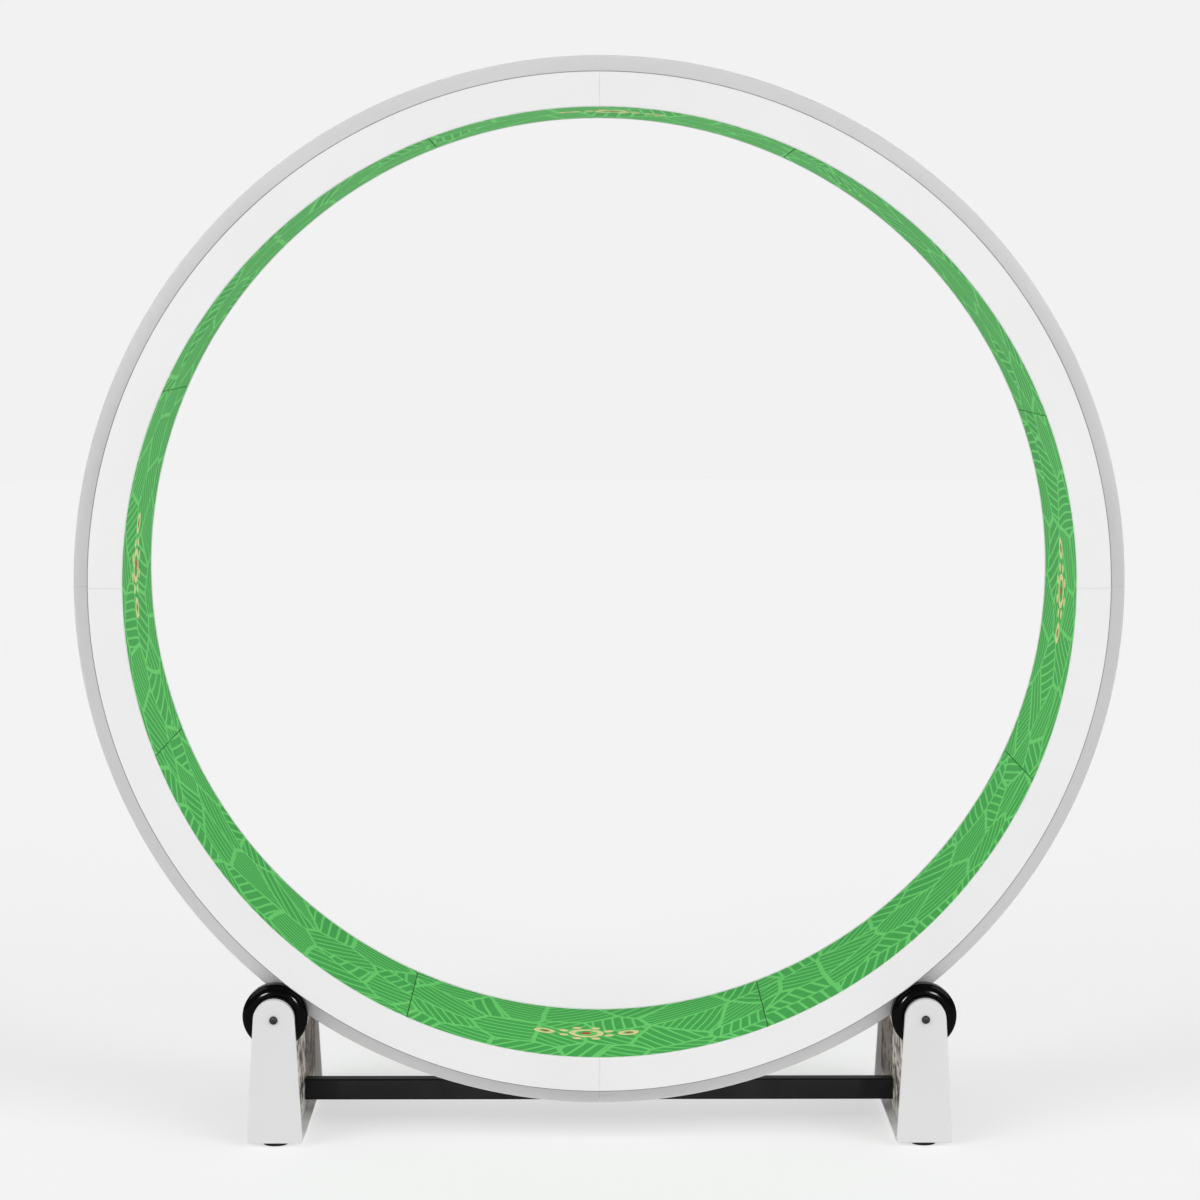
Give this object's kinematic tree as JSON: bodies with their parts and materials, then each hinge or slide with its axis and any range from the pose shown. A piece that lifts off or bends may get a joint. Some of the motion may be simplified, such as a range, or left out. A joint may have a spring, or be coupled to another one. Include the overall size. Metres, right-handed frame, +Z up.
{
  "type": "cat exercise wheel",
  "caption": "Upright running wheel for a cat: a ribbed drum open at both faces, lined with mats, turns on black rollers held by two tapered feet joined by a low cross bar.",
  "frame": {"origin": "on the floor, below the middle of the drum", "axes": "+Z up, +Y along the drum's axis towards the rear, +X to the right seen from the front"},
  "size_m": [1.2, 0.3056, 1.2415],
  "materials": {
    "drum_shell": "satin white moulded plastic",
    "deck_board": "plain white sheet",
    "lining_mat": "printed foam mat, matt",
    "roller_tyre": "glossy black polyurethane",
    "roller_hub": "moulded nylon",
    "bearing_steel": "ground steel",
    "end_plate": "white satin",
    "base_sheet": "light grey paint",
    "wall_sheet": "mottled brown-grey",
    "bar_paint": "satin black powder coat",
    "black_plastic": "matt black",
    "foot_rubber": "matt black rubber",
    "zinc_steel": "zinc-plated fasteners"
  },
  "bodies": {
    "stand": {"axle_screws": "zinc_steel", "bar_bolts": "zinc_steel", "bar_plugs": "black_plastic", "cross_bar": "bar_paint", "foot_nuts": "zinc_steel", "foot_studs": "zinc_steel", "left_axle": "bearing_steel", "left_base_plate": "base_sheet", "left_front_plate": "end_plate", "left_front_wall": "wall_sheet", "left_long_spacer": "black_plastic", "left_rear_plate": "end_plate", "left_rear_wall": "wall_sheet", "left_wall_strap": "wall_sheet", "right_axle": "bearing_steel", "right_base_plate": "base_sheet", "right_front_plate": "end_plate", "right_front_wall": "wall_sheet", "right_long_spacer": "black_plastic", "right_rear_plate": "end_plate", "right_rear_wall": "wall_sheet", "right_wall_strap": "wall_sheet", "roller_bearings": "bearing_steel", "rubber_feet": "foot_rubber", "short_spacers": "black_plastic", "strap_screws": "zinc_steel", "wall_screws": "zinc_steel"},
    "wheel": {"deck_panel_1": "deck_board", "deck_panel_2": "deck_board", "deck_panel_3": "deck_board", "deck_panel_4": "deck_board", "mat_1": "lining_mat", "mat_2": "lining_mat", "mat_3": "lining_mat", "mat_4": "lining_mat", "mat_5": "lining_mat", "mat_6": "lining_mat", "mat_7": "lining_mat", "mat_8": "lining_mat", "rim_segment_1": "drum_shell", "rim_segment_2": "drum_shell", "rim_segment_3": "drum_shell", "rim_segment_4": "drum_shell", "segment_bolts": "zinc_steel", "segment_nuts": "zinc_steel"},
    "front_left_roller": {"front_left_hub": "roller_hub", "front_left_tyre": "roller_tyre"},
    "front_right_roller": {"front_right_hub": "roller_hub", "front_right_tyre": "roller_tyre"},
    "rear_left_roller": {"rear_left_hub": "roller_hub", "rear_left_tyre": "roller_tyre"},
    "rear_right_roller": {"rear_right_hub": "roller_hub", "rear_right_tyre": "roller_tyre"}
  },
  "joints": [
    {"name": "wheel_spin", "type": "hinge", "parent": "stand", "child": "wheel", "pos_m": [0, 0, 0.6415], "axis": [0, 1, 0], "continuous": true},
    {"name": "front_left_roller_spin", "type": "hinge", "parent": "stand", "child": "front_left_roller", "pos_m": [-0.37281, -0.1232, 0.14749], "axis": [0, 1, 0], "continuous": true},
    {"name": "front_right_roller_spin", "type": "hinge", "parent": "stand", "child": "front_right_roller", "pos_m": [0.37281, -0.1232, 0.14749], "axis": [0, 1, 0], "continuous": true},
    {"name": "rear_left_roller_spin", "type": "hinge", "parent": "stand", "child": "rear_left_roller", "pos_m": [-0.37281, 0.1232, 0.14749], "axis": [0, 1, 0], "continuous": true},
    {"name": "rear_right_roller_spin", "type": "hinge", "parent": "stand", "child": "rear_right_roller", "pos_m": [0.37281, 0.1232, 0.14749], "axis": [0, 1, 0], "continuous": true}
  ],
  "couplings": [
    {"joint": "front_left_roller_spin", "follows": "wheel_spin", "ratio": -15.452},
    {"joint": "front_right_roller_spin", "follows": "wheel_spin", "ratio": -15.452},
    {"joint": "rear_left_roller_spin", "follows": "wheel_spin", "ratio": -15.452},
    {"joint": "rear_right_roller_spin", "follows": "wheel_spin", "ratio": -15.452}
  ]
}
